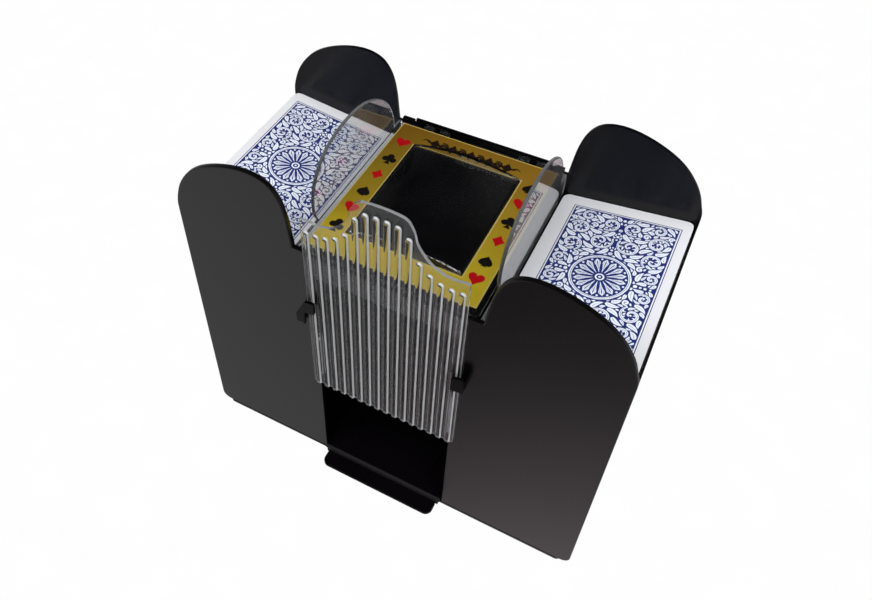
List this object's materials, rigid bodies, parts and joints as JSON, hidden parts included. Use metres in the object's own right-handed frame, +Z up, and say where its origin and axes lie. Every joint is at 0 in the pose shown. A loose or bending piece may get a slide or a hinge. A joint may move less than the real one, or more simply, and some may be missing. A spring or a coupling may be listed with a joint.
{
  "type": "automatic card shuffler",
  "caption": "Battery card shuffler: sloped side bays with motor driven rollers, hinged clear lid, sliding ribbed front door and a pull-out catch tray.",
  "frame": {"origin": "centre of the base's underside, on the plane it rests on", "axes": "+Z up, +X to the right seen from the front door, +Y to the rear; the front door faces -Y"},
  "size_m": [0.216, 0.1178, 0.2088],
  "materials": {
    "black_plastic": "satin",
    "inner_black": "matte",
    "clear_plastic": "clear gloss",
    "gold_print": "metallic gold gloss",
    "card_stock": "satin",
    "roller_rubber": "matte",
    "white_nylon": "satin",
    "steel": "brushed",
    "brass_gear": "polished",
    "copper_core": "satin",
    "screw_steel": "zinc plated",
    "cell_jacket": "gloss",
    "wire_jacket": "satin",
    "pad_rubber": "matte"
  },
  "bodies": {
    "housing": {"base_plate": "black_plastic", "base_screws": "screw_steel", "battery_cells": "cell_jacket", "battery_contacts": "steel", "battery_springs": "steel", "bay_walls": "inner_black", "bracket_screws": "screw_steel", "foot_pads": "pad_rubber", "front_panel": "black_plastic", "hinge_bar": "black_plastic", "hinge_pins": "steel", "idler_axles": "steel", "left_battery_holder": "inner_black", "left_card_guide": "clear_plastic", "left_card_tray": "inner_black", "left_chamber_wall": "inner_black", "left_door_clip": "black_plastic", "left_gear_plate": "inner_black", "left_motor_case": "steel", "left_side_wall": "black_plastic", "motor_end_caps": "white_nylon", "motor_screws": "screw_steel", "rear_panel": "black_plastic", "right_battery_holder": "inner_black", "right_card_guide": "clear_plastic", "right_card_tray": "inner_black", "right_chamber_wall": "inner_black", "right_door_clip": "black_plastic", "right_gear_plate": "inner_black", "right_motor_case": "steel", "right_side_wall": "black_plastic", "roller_brackets": "inner_black", "shaft_bushes": "brass_gear", "switch_body": "inner_black", "wiring": "wire_jacket"},
    "lid": {"lid_plate": "clear_plastic", "gold_label": "gold_print", "dome_window": "clear_plastic"},
    "front_door": {"front_door": "clear_plastic"},
    "catch_tray": {"catch_tray": "black_plastic"},
    "switch_rocker": {"switch_rocker": "black_plastic"},
    "left_roller": {"left_roller_shaft": "steel", "left_roller_hubs": "white_nylon", "left_roller_tyres": "roller_rubber", "left_roller_gear": "white_nylon"},
    "left_idler": {"left_idler_gear": "white_nylon"},
    "left_rotor": {"left_motor_armature": "copper_core", "left_motor_pinion": "brass_gear"},
    "left_battery_door": {"left_battery_door": "black_plastic"},
    "left_deck": {"left_card_deck": "card_stock"},
    "right_roller": {"right_roller_shaft": "steel", "right_roller_hubs": "white_nylon", "right_roller_tyres": "roller_rubber", "right_roller_gear": "white_nylon"},
    "right_idler": {"right_idler_gear": "white_nylon"},
    "right_rotor": {"right_motor_armature": "copper_core", "right_motor_pinion": "brass_gear"},
    "right_battery_door": {"right_battery_door": "black_plastic"},
    "right_deck": {"right_card_deck": "card_stock"}
  },
  "joints": [
    {"name": "lid_hinge", "type": "hinge", "parent": "housing", "child": "lid", "pos_m": [0, 0.0482, 0.1646], "axis": [-1, 0, 0], "range_deg": [0, 100]},
    {"name": "door_slide", "type": "slide", "parent": "housing", "child": "front_door", "axis": [0, 0, 1], "range_m": [-0.062, 0.04]},
    {"name": "tray_slide", "type": "slide", "parent": "housing", "child": "catch_tray", "axis": [0, -1, 0], "range_m": [0, 0.07]},
    {"name": "switch_tilt", "type": "hinge", "parent": "housing", "child": "switch_rocker", "pos_m": [0.085, 0.0494, 0.052], "axis": [1, 0, 0], "range_deg": [0, 16]},
    {"name": "left_roller_spin", "type": "hinge", "parent": "housing", "child": "left_roller", "pos_m": [-0.062, 0, 0.0952], "axis": [0, 1, 0], "continuous": true},
    {"name": "left_idler_spin", "type": "hinge", "parent": "housing", "child": "left_idler", "pos_m": [-0.062, 0, 0.0842], "axis": [0, 1, 0], "continuous": true},
    {"name": "left_rotor_spin", "type": "hinge", "parent": "housing", "child": "left_rotor", "pos_m": [-0.062, 0, 0.0712], "axis": [0, 1, 0], "continuous": true},
    {"name": "left_battery_door_off", "type": "slide", "parent": "housing", "child": "left_battery_door", "axis": [0, 0, -1], "range_m": [0, 0.03]},
    {"name": "left_deck_lift", "type": "slide", "parent": "housing", "child": "left_deck", "axis": [0, 0, 1], "range_m": [0, 0.09]},
    {"name": "right_roller_spin", "type": "hinge", "parent": "housing", "child": "right_roller", "pos_m": [0.062, 0, 0.0952], "axis": [0, 1, 0], "continuous": true},
    {"name": "right_idler_spin", "type": "hinge", "parent": "housing", "child": "right_idler", "pos_m": [0.062, 0, 0.0842], "axis": [0, 1, 0], "continuous": true},
    {"name": "right_rotor_spin", "type": "hinge", "parent": "housing", "child": "right_rotor", "pos_m": [0.062, 0, 0.0712], "axis": [0, 1, 0], "continuous": true},
    {"name": "right_battery_door_off", "type": "slide", "parent": "housing", "child": "right_battery_door", "axis": [0, 0, -1], "range_m": [0, 0.03]},
    {"name": "right_deck_lift", "type": "slide", "parent": "housing", "child": "right_deck", "axis": [0, 0, 1], "range_m": [0, 0.09]}
  ],
  "couplings": [
    {"joint": "left_idler_spin", "follows": "left_roller_spin", "ratio": -2.1429},
    {"joint": "left_rotor_spin", "follows": "left_roller_spin", "ratio": 7.1429},
    {"joint": "right_idler_spin", "follows": "right_roller_spin", "ratio": -2.1429},
    {"joint": "right_rotor_spin", "follows": "right_roller_spin", "ratio": 7.1429}
  ]
}
